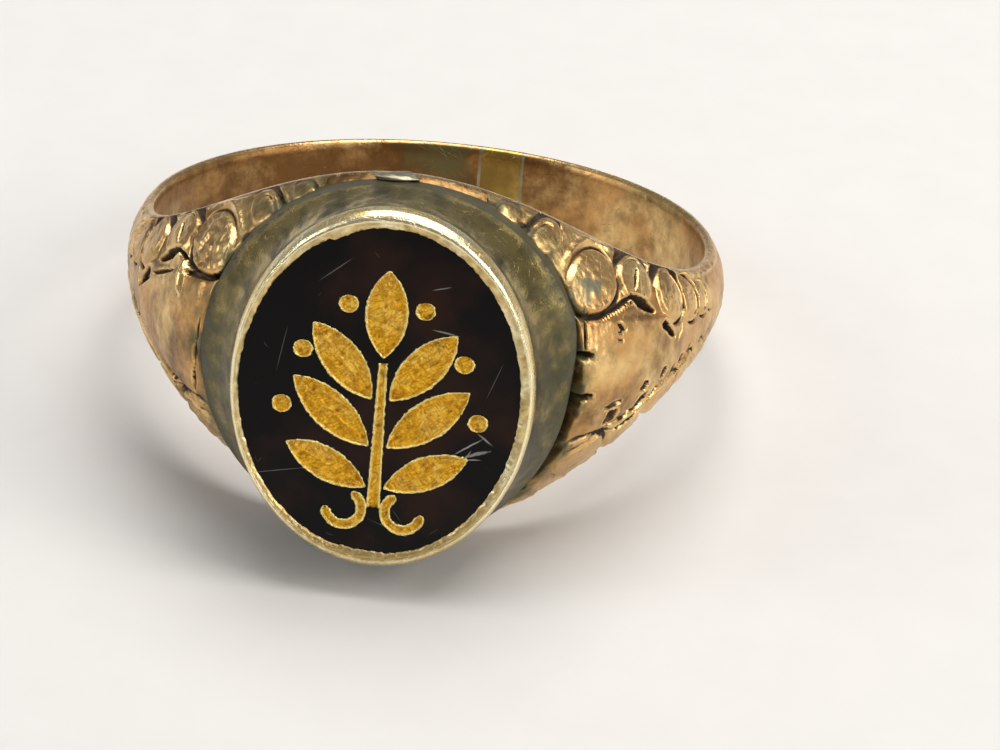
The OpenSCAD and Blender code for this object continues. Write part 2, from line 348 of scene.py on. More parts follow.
def stoneMaterial():
    material, tree, shader = newMaterial("polishedOnyx")
    wear = addNode(tree, "ShaderNodeGroup", {"node_tree": wearGroup}, Patch_Size=4.0, Grain_Size=0.3,
                   Scratch_Amount=1.0, Scratch_Level=0.79).outputs
    where = addNode(tree, "ShaderNodeTexCoord").outputs["Object"]
    wobble = addNode(tree, "ShaderNodeTexNoise", Vector=where, Scale=3500.0, Detail=2.0).outputs[1]
    marks = mathNode(tree, "MULTIPLY", wear["Scratches"], 0.12)
    for x, z, lean, long, wide, strength in stone["hairlines"]:
        middle = toRow @ Vector((x, ring["faceY"], z))
        turned = (toRow.to_3x3().normalized() @ Matrix.Rotation(math.radians(-lean), 3, "Y")).to_euler()
        moved = addNode(tree, "ShaderNodeMapping", {"vector_type": "TEXTURE"}, Vector=where, Location=middle,
                        Rotation=turned, Scale=(long * 0.001, 0.001, wide * 0.001)).outputs[0]
        shaken = vectorNode(tree, "MULTIPLY_ADD", wobble, (0.9, 0, 1.6), moved)
        reach = addNode(tree, "ShaderNodeVectorMath", {"operation": "LENGTH"}, _0=shaken).outputs["Value"]
        stroke = mathNode(tree, "MULTIPLY", ramp(tree, reach, 1.3, 0.5), strength)
        marks = mathNode(tree, "MAXIMUM", marks, stroke)
    cloud = ramp(tree, wear["Patches"], 0.46, 0.70)
    colour = mixColour(tree, cloud, stone["black"], stone["brownCloud"])
    colour = mixColour(tree, marks, colour, stone["scratchGrey"])
    tree.links.new(colour, shader.inputs["Base Color"])
    rough = mathNode(tree, "ADD", stone["polish"], mathNode(tree, "MULTIPLY", marks, 0.6))
    tree.links.new(rough, shader.inputs["Roughness"])
    shader.inputs["IOR"].default_value = 1.54
    shader.inputs["Specular IOR Level"].default_value = stone["gloss"]
    relief = addNode(tree, "ShaderNodeBump", Strength=0.5, Distance=0.000003, Height=wear["Height"])
    tree.links.new(relief.outputs[0], shader.inputs["Normal"])
    return material


roseGold = metal("wornRoseGold", (0.66, 0.38, 0.140), (0.86, 0.60, 0.26), (0.36, 0.195, 0.08),
                 filmAmount=0.35, polish=0.34, scratch=0.8, bump=0.024,
                 stains=(("dull_and_shade", (0.17, 0.085, 0.03), 0.32, 0.5), ("green", (0.17, 0.15, 0.07), 0.38, 0.4),
                         ("smear", (0.24, 0.225, 0.145), 0.5, 0.22)))
letInGold = metal("yellowGold", (0.62, 0.43, 0.10), (0.50, 0.36, 0.09), (0.22, 0.17, 0.05),
                  filmAmount=0.4, polish=0.22, stains=(("dull_and_shade", (0.26, 0.17, 0.045), 0.35, 0.5),))
tarnishedGold = metal("tarnishedGold", (0.27, 0.21, 0.085), (0.54, 0.41, 0.15), (0.060, 0.058, 0.034),
                      dirt=(0.028, 0.028, 0.018), filmAmount=0.85, polish=0.24, patch=3.6,
                      grain=0.10, bump=0.02, stains=(("dull_and_shade", (0.085, 0.080, 0.045), 0.34, 0.45),))
paleGold = metal("burnishedGold", (0.97, 0.77, 0.37), (1.0, 0.90, 0.58), (0.62, 0.43, 0.17),
                 filmAmount=0.35, polish=0.24, patch=1.2, grain=0.06, bump=0.025,
                 stains=(("dull_and_shade", (0.52, 0.37, 0.15), 0.40, 0.5),))
solderGrey = metal("greySolder", (0.30, 0.28, 0.20), (0.42, 0.38, 0.26), (0.16, 0.15, 0.10),
                   filmAmount=0.5, polish=0.32)
# the worked lines in the gilding are coloured darker: painted shade of the hatching
leafGold = metal("roughGilding", (1.0, 0.60, 0.045), (1.0, 0.84, 0.32), (0.80, 0.40, 0.02),
                 dirt=(0.28, 0.12, 0.012), filmAmount=0.5, polish=0.36, patch=0.9, patchy=0.3, grain=0.05,
                 scratch=0.65, level=0.585, size=1.15, length=0.30, bump=0.08, strokes=(0.58, 0.27, 0.012))
cement = metal("brownCement", (0.25, 0.17, 0.10), (0.3, 0.2, 0.12), (0.16, 0.1, 0.06), polish=0.6)
onyx = stoneMaterial()
print("materials ready")

band = {
    "outerShare": 0.80,  # shares of the loop of points round a section; the inside takes the rest
    "sideShare": 0.04,
    "ease": 0.1,  # rounding of the inside at its edges
    "easeWidth": 0.3,
    "endBias": 1.46,  # draws the points towards the edges of the outside
    "letInTurn": 170.0,
    "letInLength": 1.6,
    "seamWidth": 0.12,
    "rows": 90,
    "seed": 21,  # the same for all the rose gold, so that the joints don't step
}
# the second stain marks burnish with a painted highlight, the fifth tarnish with painted shade
stainNames = ("grime", "shine", "green", "smear", "dull_and_shade")


def overFoot(p):
    # below 1 inside the oval where the collar stands
    return math.hypot(p.x / ring["collarFoot"][0], p.z / ring["collarFoot"][1]) if p.y < 0 else 9.0


def sectionPoint(turn, v, relief, seed):
    # one point on the loop round a section, with its stains in the order of stainNames
    outer, side = band["outerShare"], band["sideShare"]
    ease, easeWidth, bias = band["ease"], band["easeWidth"], band["endBias"]
    w, stains = halfWidth(turn), [0.0, 0.0, 0.0, 0.0, 0.3]
    if v <= outer:
        s = math.sin((1 - 2 * v / outer) * bias) / math.sin(bias)
        p = outside(turn, s)
        lift = 0.0
        stains[4] = max(0.0, outerDull(turn, p))
        if relief:
            lift, *stains = relief(turn, s, p)
        fade = smooth(1.0, 0.95, abs(s))
        p = p + outwards(turn, s) * (lift + worn(p, seed)) * fade
        under = smooth(1.015, 0.93, overFoot(p))
        if under > 0:
            r = math.hypot(p.x, p.y)
            p = onRing(turn, r + (min(r, fingerR + ring["plateThick"]) - r) * under, p.z)
    elif v < outer + side or v > 1 - side:
        lower = v < 0.5 + outer / 2
        a = (v - outer) / side if lower else (1 - v) / side
        r = fingerR + edgeThick(turn) * (1 - a) + ease * a
        z = (w + 0.03 * math.sin(math.pi * a)) * (-1 if lower else 1)
        p = onRing(turn, r, z)
        # the flat sides are paler and smoother: burnish with a painted highlight
        stains[1] = 0.75
    else:
        a = (v - outer - side) / (1 - outer - 2 * side)
        z = w * (2 * a - 1)
        past = max(0.0, abs(z) - (w - easeWidth)) / easeWidth
        p = onRing(turn, fingerR + ease * past * past, z)
        p = p + onRing(turn, 1, 0) * (0.008 * lumps(p, 2.0, seed + 3) + 0.008)
        whole = turn % 360
        # the inside is darker at the back and on the left: painted shade for the dark it reflects, over
        # random tarnish
        back = smooth(130, 185, whole) * smooth(262, 200, whole)
        left = smooth(200, 225, whole) * smooth(300, 250, whole)
        stains[4] = 0.2 + 0.62 * back + 0.3 * lumps(p, 2.2, 5) + 0.4 * left
        stains[2] = 0.75 * smooth(168, 180, whole) * smooth(205, 185, whole) * (0.6 + lumps(p, 1.5, 8))
    return p, stains


def outerDull(turn, p):
    # the outside is cleaner on the band than on the shoulders
    fromHead = 180 - abs(180 - turn % 360)
    return 0.28 + 0.5 * lumps(p, 1.4, 12) - 0.25 * smooth(80, 120, fromHead)


def stainLayers(bm):
    return [bm.verts.layers.float.new(name) for name in stainNames]


def ringStretch(fromTurn, toTurn, steps, rows, relief=None, seed=0.0, spread=None):
    # a grid wrapped round the section; spread moves its columns together where the work is finest
    bm = bmesh.new()
    bmesh.ops.create_grid(bm, x_segments=steps, y_segments=rows, size=1)
    layers = stainLayers(bm)
    for vert in bm.verts:
        u = (vert.co.x + 1) / 2
        turn = spread(u) if spread else fromTurn + (toTurn - fromTurn) * u
        vert.co, stains = sectionPoint(turn, (vert.co.y + 1) / 2, relief, seed)
        for layer, amount in zip(layers, stains):
            vert[layer] = amount
    bmesh.ops.remove_doubles(bm, verts=bm.verts, dist=0.0001)
    caps = bmesh.ops.holes_fill(bm, edges=[e for e in bm.edges if e.is_boundary], sides=0)["faces"]
    for cap in caps:
        for edge in cap.edges:
            edge.smooth = False
    return bm


def inSeam(turn, s, p):
    return 0.01, 0.3, 0.0, 0.0, 0.0, 0.5


halfLet = math.degrees(band["letInLength"] / fingerR) / 2
seamTurn = math.degrees(band["seamWidth"] / fingerR)
letMid = band["letInTurn"]
stretches = (
    ("band_left", letMid + halfLet + seamTurn, 360 - shoulderEnd, 160, roseGold, "rose_gold"),
    ("band_right", shoulderEnd, letMid - halfLet - seamTurn, 120, roseGold, "rose_gold"),
    ("let_in_piece", letMid - halfLet, letMid + halfLet, 24, letInGold, "let_in_gold"),
)
for name, fromTurn, toTurn, steps, material, slotName in stretches:
    bm = ringStretch(fromTurn, toTurn, steps, band["rows"], seed=band["seed"])
    finishPiece(bm, name + "_worn", name, material)

seams = bmesh.new()
stainLayers(seams)
for start in (letMid - halfLet - seamTurn, letMid + halfLet):
    strip = ringStretch(start - 0.1, start + seamTurn + 0.1, 3, 70, inSeam, 5)
    stripMesh = bpy.data.meshes.new("strip")
    strip.to_mesh(stripMesh)
    strip.free()
    seams.from_mesh(stripMesh)
    bpy.data.meshes.remove(stripMesh)
finishPiece(seams, "let_in_seams_worn", "let_in_seams", solderGrey)
print("band done")

# Chased work on a shoulder laid out flat, drawn for the right one: x runs round the finger from the
# middle of the head, y along the finger, and the lower half is a fainter mirror of the upper one.
chasing = {
    "nearR": fingerR + 2.4,
    "lobes": (  # x, y, half length, half width, lean, height
        (7.35, 3.18, 1.34, 0.96, 3, 0.13),
        (9.78, 2.78, 1.12, 0.80, -14, 0.14),
        (11.95, 1.86, 1.02, 0.90, -34, 0.17),
        (13.55, 1.34, 0.84, 0.74, -44, 0.13),
        (14.85, 1.06, 0.66, 0.58, -50, 0.10),
        (15.90, 0.88, 0.50, 0.46, -55, 0.07),
        (5.40, 4.74, 0.98, 0.52, 9, 0.13),
        (3.90, 5.48, 0.72, 0.36, 6, 0.10),
    ),
    "arcs": (  # lobe, scale, from angle, to angle, width, depth
        (0, 1.04, 190, 356, 0.090, 0.36),
        (0, 1.03, 10, 160, 0.045, 0.14),
        (0, 0.66, 215, 330, 0.035, 0.04),
        (1, 1.08, 20, 160, 0.150, 0.40),
        (1, 0.72, 40, 150, 0.035, 0.07),
        (2, 1.07, 25, 190, 0.145, 0.40),
        (2, 1.03, -75, 30, 0.070, 0.24),
        (2, 0.70, -40, 130, 0.035, 0.08),
        (3, 1.03, -80, 130, 0.065, 0.26),
        (3, 0.64, -60, 110, 0.035, 0.10),
        (4, 1.03, -80, 120, 0.060, 0.20),
        (4, 0.60, -60, 100, 0.030, 0.08),
        (5, 1.03, -80, 110, 0.050, 0.14),
        (6, 1.08, -10, 190, 0.085, 0.28),
        (6, 0.60, 20, 200, 0.040, 0.10),
        (7, 1.08, -10, 190, 0.070, 0.22),
    ),
    "ridges": (  # the frill outside the lobes: lobe, from angle, to angle, height
        (0, 15, 150, 0.10),
        (1, 35, 150, 0.16),
        (2, 30, 170, 0.15),
        (3, 20, 120, 0.10),
        (4, 20, 110, 0.07),
        (6, 15, 165, 0.07),
    ),
    "cuts": (  # x, y, x, y, width, depth
        (7.90, 2.20, 9.25, 2.42, 0.080, 0.34),
        (9.15, 2.44, 10.55, 1.66, 0.120, 0.42),
        (9.30, 2.42, 9.55, 2.05, 0.050, 0.16),
        (11.05, 1.10, 11.75, 0.52, 0.110, 0.38),
        (10.95, 1.06, 11.35, 1.02, 0.130, 0.34),
        (12.45, 0.95, 12.90, 1.20, 0.060, 0.26),
        (12.10, 0.28, 12.60, 0.78, 0.045, 0.18),
        (9.95, 3.02, 9.45, 2.60, 0.085, 0.26),
        (8.16, 1.76, 8.46, 1.58, 0.070, 0.24),
        (8.12, 1.46, 8.60, 1.52, 0.045, 0.13),
        (8.05, 1.28, 8.35, 1.20, 0.040, 0.09),
    ),
    "rightCuts": (  # pits beside the collar and along the lower border
        (6.68, 2.08, 6.63, 1.12, 0.055, 0.24),
        (6.38, 1.00, 6.92, 0.98, 0.120, 0.42),
        (6.30, -0.58, 6.98, -0.50, 0.115, 0.36),
        (6.22, -0.84, 6.52, -0.74, 0.085, 0.30),
        (7.72, -1.18, 8.55, -1.08, 0.090, 0.34),
        (8.00, -1.76, 8.36, -1.52, 0.235, 0.50),
        (8.90, -1.95, 9.32, -1.68, 0.110, 0.36),
        (9.58, -1.72, 10.18, -1.26, 0.165, 0.46),
        (9.72, -0.92, 10.08, -0.80, 0.145, 0.42),
        (10.56, -1.44, 10.88, -1.12, 0.095, 0.34),
        (10.98, -0.74, 11.32, -0.58, 0.140, 0.42),
        (11.76, -0.88, 12.20, -0.64, 0.110, 0.36),
        (12.48, -0.72, 12.90, -0.50, 0.130, 0.40),
        (13.30, -0.58, 13.64, -0.28, 0.090, 0.32),
    ),
    "leftCuts": (  # a broken line down beside the collar, and strokes over the panel
        (6.75, 0.90, 6.76, 0.12, 0.050, 0.28),
        (6.80, -0.05, 6.86, -0.75, 0.065, 0.34),
        (6.90, -0.95, 7.02, -1.95, 0.055, 0.32),
        (6.95, 2.16, 8.60, 1.95, 0.075, 0.30),
        (9.10, 1.75, 10.60, 1.15, 0.060, 0.28),
        (10.85, 0.95, 12.00, 0.25, 0.055, 0.24),
        (8.40, -2.10, 8.80, -2.00, 0.070, 0.26),
    ),
    "border": (  # x, y along the lower border
        (6.4, -2.75), (7.4, -2.45), (8.4, -2.0), (9.8, -1.62), (11.2, -1.12), (12.6, -0.80), (14.0, -0.42),
    ),
    "borderWidth": 0.04,
    "borderDepth": 0.14,
    "faint": 0.45,
    "edgeBead": {"in": 0.15, "width": 0.07, "height": 0.05},
    "firstCut": 0.015,  # depth at which a cut starts to hold dirt
    "dirtRise": 14,
}


def cutDip(x, y, ends):
    # distance from a tapered cut, in its own widths
    x0, y0, x1, y1, width, _ = ends
    if x < min(x0, x1) - 0.5 or x > max(x0, x1) + 0.5:
        return 9.0
    long = (x1 - x0) ** 2 + (y1 - y0) ** 2
    b = max(0.0, min(1.0, ((x - x0) * (x1 - x0) + (y - y0) * (y1 - y0)) / long))
    swell = 0.5 + 0.5 * math.sin(math.pi * b)
    return math.hypot(x - x0 - (x1 - x0) * b, y - y0 - (y1 - y0) * b) / (width * swell)


def withinArc(angle, first, last):
    # 1 in the middle of the arc, 0 outside it
    middle, half = (first + last) / 2, (last - first) / 2
    apart = abs((angle - middle + 180) % 360 - 180)
    return max(0.0, 1 - apart / half)


def chaser(side):
    # gives the relief function of one shoulder
    cuts = list(chasing["cuts"])
    cuts += [(x0, -y0, x1, -y1, w, d * 0.8) for x0, y0, x1, y1, w, d in chasing["cuts"][:3]]
    cuts += chasing["rightCuts"] if side > 0 else chasing["leftCuts"]
    for (x0, y0), (x1, y1) in zip(chasing["border"], chasing["border"][1:]):
        cuts.append((x0 - 0.05, y0, x1 + 0.05, y1, chasing["borderWidth"], chasing["borderDepth"]))
    turned = [(x, y, math.cos(math.radians(lean)), math.sin(math.radians(lean)), long, wide, height)
              for x, y, long, wide, lean, height in chasing["lobes"]]
    bead = chasing["edgeBead"]

    def relief(turn, s, p):
        x, w = math.radians(abs(turn)) * chasing["nearR"], halfWidth(turn)
        flip = 1 if s > 0 else -1
        y = s * w
        strength = 1 if s > 0 else chasing["faint"]
        # bright: burnish with a painted highlight on lobe tops, ridges, cut edges, the edge bead, the leaf
        # and the lower border
        lift, cutDepth, bright = 0.0, 0.0, 0.0
        for index, (cx, cy, cosL, sinL, long, wide, height) in enumerate(turned):
            if abs(x - cx) > long * 1.6:
                continue
            dx, dy = x - cx, y * flip - cy
            lx, ly = (dx * cosL + dy * sinL) / long, (dy * cosL - dx * sinL) / wide
            q = math.hypot(lx, ly)
            if q > 1.7:
                continue
            angle, mean = math.degrees(math.atan2(ly, lx)), (long + wide) / 2
            if q < 1:
                plateau = 0.72 * smooth(1.0, 0.80, q) + 0.28 * (1 - q * q)
                lift = max(lift, height * plateau * (0.5 + 0.5 * strength))
                battered = 0.09 if side < 0 and index == 0 else 0.022
                lift += battered * plateau * (lumps(p, 0.42, 14) + 0.5 * lumps(p, 0.17, 15))
                bright = max(bright, 0.42 * plateau, 0.6 * math.exp(-(((0.93 - q) * mean) / 0.06) ** 2))
            for which, first, last, high in chasing["ridges"]:
                if which == index:
                    share = withinArc(angle, first, last)
                    if share > 0:
                        across = (q - 1.25) * mean / 0.11
                        ridge = min(1.0, share * 2.5) * math.exp(-across * across)
                        lift = max(lift, high * ridge * strength)
                        bright = max(bright, 0.7 * ridge)
            for which, scale, first, last, width, depth in chasing["arcs"]:
                if which != index:
                    continue
                share = withinArc(angle, first, last)
                if share <= 0:
                    continue
                swell = min(1.0, share * 1.9) ** 0.8
                d = (q - scale) * mean / (width * (0.4 + 0.6 * swell))
                if abs(d) < 3:
                    cutDepth = max(cutDepth, depth * swell * strength * math.exp(-d * d))
        for ends in cuts:
            d = cutDip(x, y, ends)
            if d < 3:
                cutDepth = max(cutDepth, ends[5] * math.exp(-d ** 3))
                bright = max(bright, 0.8 * math.exp(-((d - 1.9) ** 2) * 4))
        # fine nicks along the underside of the first lobe's cut
        if side > 0 and 6.6 < x < 9.3 and 1.9 < y < 2.6:
            under = 2.20 + 0.10 * math.cos((x - 9.3) * 1.1) - y if x > 7.3 else 2.2 - y + (7.3 - x) ** 2 * 0.9
            nick = (0.5 + 0.5 * math.cos(x * math.tau / 0.155)) ** 2
            cutDepth = max(cutDepth, 0.15 * nick * smooth(-0.02, 0.03, under) * smooth(0.17, 0.10, under))
        panel = smooth(0.48, 0.42, abs(s)) * smooth(6.8, 7.1, x) * smooth(13.5, 11.5, x)
        lift = max(lift, 0.08 * panel)
        edge = math.exp(-(((1 - abs(s)) * w - bead["in"]) / bead["width"]) ** 2)
        nicks = max(0.0, lumps(Vector((x * 1.2, flip * 3, side)), 0.7, 4) - 0.1)
        lift += (bead["height"] - 0.14 * nicks) * edge * smooth(96, 80, abs(turn))
        bright = max(bright, 0.5 * edge)
        if side < 0:  # one raised leaf stands over the left panel
            dx, dy = x - 8.30, y - 1.72
            q = math.hypot((dx * 0.94 - dy * 0.34) / 0.22, (dy * 0.94 + dx * 0.34) / 0.62)
            if q < 1:
                lift = max(lift, 0.26 * (1 - q * q) ** 0.5)
                bright = max(bright, 0.9)
            cutDepth *= smooth(0.95, 1.2, q)
        lower = math.exp(-(((borderAt(x) - y) - 0.22) / 0.10) ** 2)
        lower *= smooth(6.2, 6.8, x) * smooth(14.2, 13, x)
        lift = max(lift, 0.13 * lower)
        bright = max(bright, 0.9 * lower)
        rough = 0.018 * lumps(p, 0.30, side * 7) + 0.010 * lumps(p, 0.12, side * 5)
        dirt = max(0.0, cutDepth - chasing["firstCut"]) * chasing["dirtRise"]
        near = overFoot(p)
        dirt = max(dirt, smooth(1.045, 1.0, near) * (0.45 + 1.3 * lumps(p, 0.6, 9)))
        green = smooth(1.14, 1.0, near) * (0.40 + 0.7 * lumps(p, 0.8, 6))
        smear = 0.0
        if side > 0:
            d = math.hypot((x - 6.95) / 0.75, (y - 3.15) / 0.62)
            smear = 0.85 * smooth(1.4, 0.1, d + 0.9 * lumps(p, 0.4, 3))
        # the left shoulder is darker: painted shade over its tarnish
        dull_and_shade = outerDull(turn, p) + (0.18 * smooth(100, 75, abs(turn)) if side < 0 else 0.0)
        stains = (dirt, bright * (1 - min(dirt, 1.0)), green, smear, dull_and_shade * (1 - bright))
        return lift + rough - cutDepth, *(max(0.0, min(1.0, k)) for k in stains)

    return relief


def borderAt(x):
    for (x0, y0), (x1, y1) in zip(chasing["border"], chasing["border"][1:]):
        if x <= x1:
            return y0 + (y1 - y0) * (x - x0) / (x1 - x0)
    return chasing["border"][-1][1]


plate = {"from": 15.0, "scallopTurn": 7.5, "scallop": 0.06, "nick": 0.12, "steps": 90, "rows": 110}


def plateEdge(turn, s, p):
    edge = smooth(0.86, 1.0, abs(s))
    scallop = 0.5 + 0.5 * math.cos(turn * math.tau / plate["scallopTurn"])
    nicks = max(0.0, lumps(Vector((turn * 0.8, s, 3.0)), 0.8, 2) - 0.1)
    lift = -(plate["scallop"] * scallop + plate["nick"] * nicks) * edge
    # the nicks are paler: painted glints with burnish
    return lift, 0.18 + 0.5 * nicks, 0.9 * smooth(0.25, 0.4, nicks), 0.3 * (1 - edge), 0.0, 0.75


grid = {
    "steps": 420,
    "rows": 230,
    "stops": ((0.0, plate["from"]), (0.08, 26), (0.84, 76), (1.0, shoulderEnd)),  # share of the columns, turn
}


def columns(side):
    # most of the columns stand where the chasing is
    def spread(u):
        u = u if side > 0 else 1 - u
        for (u0, turn0), (u1, turn1) in zip(grid["stops"], grid["stops"][1:]):
            if u <= u1:
                break
        return (turn0 + (turn1 - turn0) * (u - u0) / (u1 - u0)) * side
    return spread


for name, side in (("shoulder_right", 1), ("shoulder_left", -1)):
    bm = ringStretch(0, 0, grid["steps"], grid["rows"], chaser(side), band["seed"], columns(side))
    finishPiece(bm, name + "_chased", name, roseGold)
    print(name, "done")
bm = ringStretch(-plate["from"], plate["from"], plate["steps"], plate["rows"], plateEdge, seed=band["seed"])
finishPiece(bm, "head_plate_worn", "head_plate", roseGold)

collar = {
    "top": (0.2, 0.45),  # how far its top stands outside the stone, at the sides and at the ends
    "topY": ring["faceY"] + 0.5,
    "depth": 2.3,
    "flare": (1.4, 0.05),  # how far its foot spreads past its top, at the sides and at the ends
    "flarePower": 1.9,
    "skirt": 0.1,
    "filed": 0.38,  # taken off the foot low on the right
    "outerShare": 0.6,
    "steps": 540,
    "rows": 80,
}


def onOval(angle, grow, y):
    # grow is added to the stone's half sizes, at its sides and at its ends
    a = math.radians(angle)
    side, end = (half + more for half, more in zip(ring["stoneHalf"], grow))
    return Vector((side * math.cos(a), y, end * math.sin(a)))


def loopedGrid(steps, rows, shape):
    # a ring-shaped piece: shape(angle, v) gives the point, the grime, the burnish with painted highlight, and
    # the dullness with painted shade
    bm = bmesh.new()
    bmesh.ops.create_grid(bm, x_segments=steps, y_segments=rows, size=1)
    grime, shine, *_, dull_and_shade = stainLayers(bm)
    for vert in bm.verts:
        vert.co, vert[grime], vert[shine], vert[dull_and_shade] = shape((vert.co.x + 1) * 180, (vert.co.y + 1) / 2)
    bmesh.ops.remove_doubles(bm, verts=bm.verts, dist=0.0001)
    return bm


def unevenness(angle, size, seed):
    a = math.radians(angle)
    return noise.noise(Vector((math.cos(a) * 5.6 / size, math.sin(a) * 5.6 / size, seed)))


def filed(angle):
    turn = (angle + 180) % 360 - 180
    return collar["filed"] * smooth(-75, -40, turn) * smooth(25, -5, turn)


def collarShape(angle, v):
    # down the flared outside, under the foot, up the inside and back over the top
    top, (sideFlare, endFlare) = collar["top"], collar["flare"]
    topY, depth = collar["topY"], collar["depth"]
    sideFlare -= filed(angle)
    if v < collar["outerShare"]:
        t = v / collar["outerShare"]
        flare = t ** collar["flarePower"]
        p = onOval(angle, (top[0] + flare * sideFlare, top[1] + flare * endFlare), topY + depth * t)
        out = Vector((p.x, 0, p.z)).normalized()
        dents = 0.035 * unevenness(angle, 0.9, 4 + t * 1.6) + 0.018 * unevenness(angle, 0.3, 9 + t * 5)
        p += out * dents * smooth(0, 0.15, t)
        drawn = Vector((p.x, p.y * 0.3, p.z))  # the tarnish runs in streaks down the wall
        streak = lumps(drawn, 0.55, 21) + 0.5 * lumps(drawn, 0.2, 31)
        low = 0.5 - 0.5 * math.sin(math.radians(angle))
        rightSide = smooth(0.45, 0.95, math.cos(math.radians(angle)))
        # dark: tarnish streaks, dark joints under the rim and at the foot, and painted shade low on the
        # collar
        dark = 0.10 + 0.12 * low + 0.30 * max(0.0, streak)
        dark += 0.40 * smooth(0.75, 1.0, t) + 0.25 * smooth(0.08, 0.0, t)
        # bright: painted highlight with burnish on the top of the collar
        bright = 0.95 * smooth(0.55, 0.92, 1 - low)
        bright *= smooth(-0.40, 0.15, lumps(drawn, 0.9, 41) + 0.4 * streak)
        # dull: tarnish, plus painted shade low on the collar and darker on the right
        dull_and_shade = 0.20 + 0.34 * low + 0.30 * rightSide + 0.45 * lumps(drawn, 1.1, 51) + 0.35 * streak
        return p, min(1.0, dark), bright * smooth(0.05, 0.15, t), max(0.0, min(1.0, dull_and_shade - bright))
    foot = onOval(angle, (top[0] + sideFlare, top[1] + endFlare), 0)
    inner = onOval(angle, (collar["skirt"], collar["skirt"]), 0)

    def seat(q):
        # just off the curved plate, so that the foot stands in it
        return -math.sqrt((fingerR + ring["plateThick"] + 0.04) ** 2 - q.x * q.x)

    a = (v - collar["outerShare"]) / (1 - collar["outerShare"]) * 4
    if a < 1:
        p = foot.copy()
        p.y = (topY + depth) * (1 - a) + seat(foot) * a
    elif a < 2:
        p = foot.lerp(inner, a - 1)
        p.y = seat(p)
    elif a < 3:
        p = inner.copy()
        p.y = seat(inner) * (3 - a) + topY * (a - 2)
    else:
        p = inner.lerp(onOval(angle, top, 0), a - 3)
        p.y = topY
    return p, 0.6, 0.0, 0.5


bm = loopedGrid(collar["steps"], collar["rows"], collarShape)
finishPiece(bm, "collar_worn", "collar", tarnishedGold)

rim = {
    "lip": 0.12,  # how far the lip reaches over the stone
    "crestY": ring["faceY"] - 0.15,
    "profile": (  # share of the loop, share of the rim's thickness, height below the crest
        (0.00, 1.00, 0.65),
        (0.08, 1.00, 0.53),
        (0.16, 0.90, 0.30),
        (0.28, 0.66, 0.11),
        (0.38, 0.46, 0.03),
        (0.50, 0.27, 0.00),
        (0.60, 0.08, 0.02),
    ),
    "lipShare": 0.86,  # where the lip meets the stone
    "turnShare": 0.92,  # where it has turned under
    "steps": 900,
    "rows": 60,
}


def lipReach(angle):
    a = math.radians(angle)
    reach = rim["lip"] + 0.16 * max(0.0, math.cos(a)) ** 2 + 0.05 * max(0.0, math.sin(a)) ** 2
    reach += 0.035 * unevenness(angle, 0.5, 2.2) + 0.03 * unevenness(angle, 0.14, 7.7)
    reach += 0.10 * smooth(116, 113, angle) * smooth(100, 112, angle)  # a burr that ends in a notch
    reach += 0.07 * smooth(257, 258, angle) * smooth(276, 275, angle)  # a step at the foot
    return max(0.03, reach)


def rimShape(angle, v):
    # outer side, crest, then down to the jagged lip on the stone, and back inside the collar
    lip, crestY, (side, endGrow) = lipReach(angle), rim["crestY"], collar["top"]
    crestEnd, lipEnd, turnEnd = rim["profile"][-1][0], rim["lipShare"], rim["turnShare"]
    if v <= crestEnd:
        for (v0, k0, y0), (v1, k1, y1) in zip(rim["profile"], rim["profile"][1:]):
            if v <= v1:
                break
        a = (v - v0) / (v1 - v0)
        k = k0 + (k1 - k0) * a
        p = onOval(angle, (side * k, endGrow * k), crestY + y0 + (y1 - y0) * a)
    elif v <= lipEnd:
        a = (v - crestEnd) / (lipEnd - crestEnd)
        grow = (side * 0.10 * (1 - a) - lip * a, endGrow * 0.10 * (1 - a) - lip * a)
        p = onOval(angle, grow, crestY + 0.03 + 0.09 * a * a)
    elif v <= turnEnd:
        a = (v - lipEnd) / (turnEnd - lipEnd)
        p = onOval(angle, (-lip, -lip), crestY + 0.12 + a * 0.11)
    else:
        a = (v - turnEnd) / (1 - turnEnd)
        grow = (-lip * (1 - a) + side * a, -lip * (1 - a) + endGrow * a)
        p = onOval(angle, grow, crestY + 0.23 + a * (collar["topY"] - crestY - 0.23))
    out = Vector((p.x, 0, p.z)).normalized()
    rough = smooth(0.44, 0.66, v) * smooth(0.93, 0.9, v)
    chatter = 0.022 * unevenness(angle, 0.16, v * 6) + 0.012 * unevenness(angle, 0.07, v * 15)
    p.y -= chatter * rough + 0.012 * unevenness(angle, 0.9, 3) * smooth(0.1, 0.4, v)
    p += out * 0.012 * unevenness(angle, 0.6, 13) * (1 - rough)
    grime = 0.5 * smooth(0.83, 0.87, v) + 0.35 * smooth(0.06, 0.0, v)
    # the crest's outer half is paler and smoother: burnish with a painted highlight
    shine = 0.8 * smooth(0.2, 0.34, v) * smooth(0.6, 0.48, v)
    dull_and_shade = rough * (0.55 + 0.5 * unevenness(angle, 0.4, 6 + v * 3))
    # painted shade on the bottom of the rim
    dull_and_shade += 0.45 * smooth(-0.55, -0.95, math.sin(math.radians(angle)))
    return p, min(grime, 1.0), shine, min(1.0, dull_and_shade)


bm = loopedGrid(rim["steps"], rim["rows"], rimShape)
finishPiece(bm, "bezel_rim_burnished", "bezel_rim", paleGold)

blob = {"half": (0.8, 0.4, 0.17), "spot": (-0.3, -(fingerR + 0.75), ring["headWidth"] / 2)}


